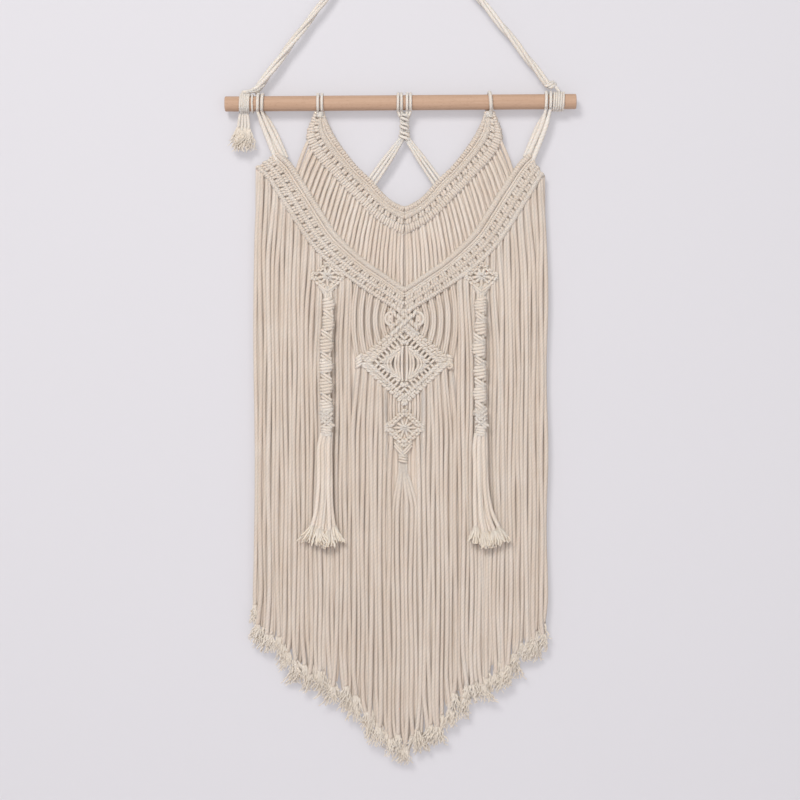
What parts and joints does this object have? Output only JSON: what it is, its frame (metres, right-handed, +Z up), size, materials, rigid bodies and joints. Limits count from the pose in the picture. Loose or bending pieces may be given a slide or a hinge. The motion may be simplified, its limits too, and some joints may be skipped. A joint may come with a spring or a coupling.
{
  "type": "macrame wall hanging on a wooden dowel",
  "caption": "Natural cotton macrame wall hanging on a plain wooden dowel, with a V-shaped knotted band, diamonds, two spiral drops with tassels and a long fringe.",
  "frame": {"origin": "the point where a wall hook carries the hanging cord, at the inside of the cord's apex", "axes": "+X to the viewer's right along the dowel, -Y towards the viewer, +Z up"},
  "size_m": [0.351, 0.0299, 0.8626],
  "materials": {
    "beech": "lightly oiled, satin",
    "cotton": "unbleached twisted cotton cord"
  },
  "bodies": {
    "root": {"dowel": "beech", "hanger": "cotton", "knotted_panel": "cotton", "fringe": "cotton", "drop_left": "cotton", "drop_right": "cotton"}
  },
  "joints": []
}
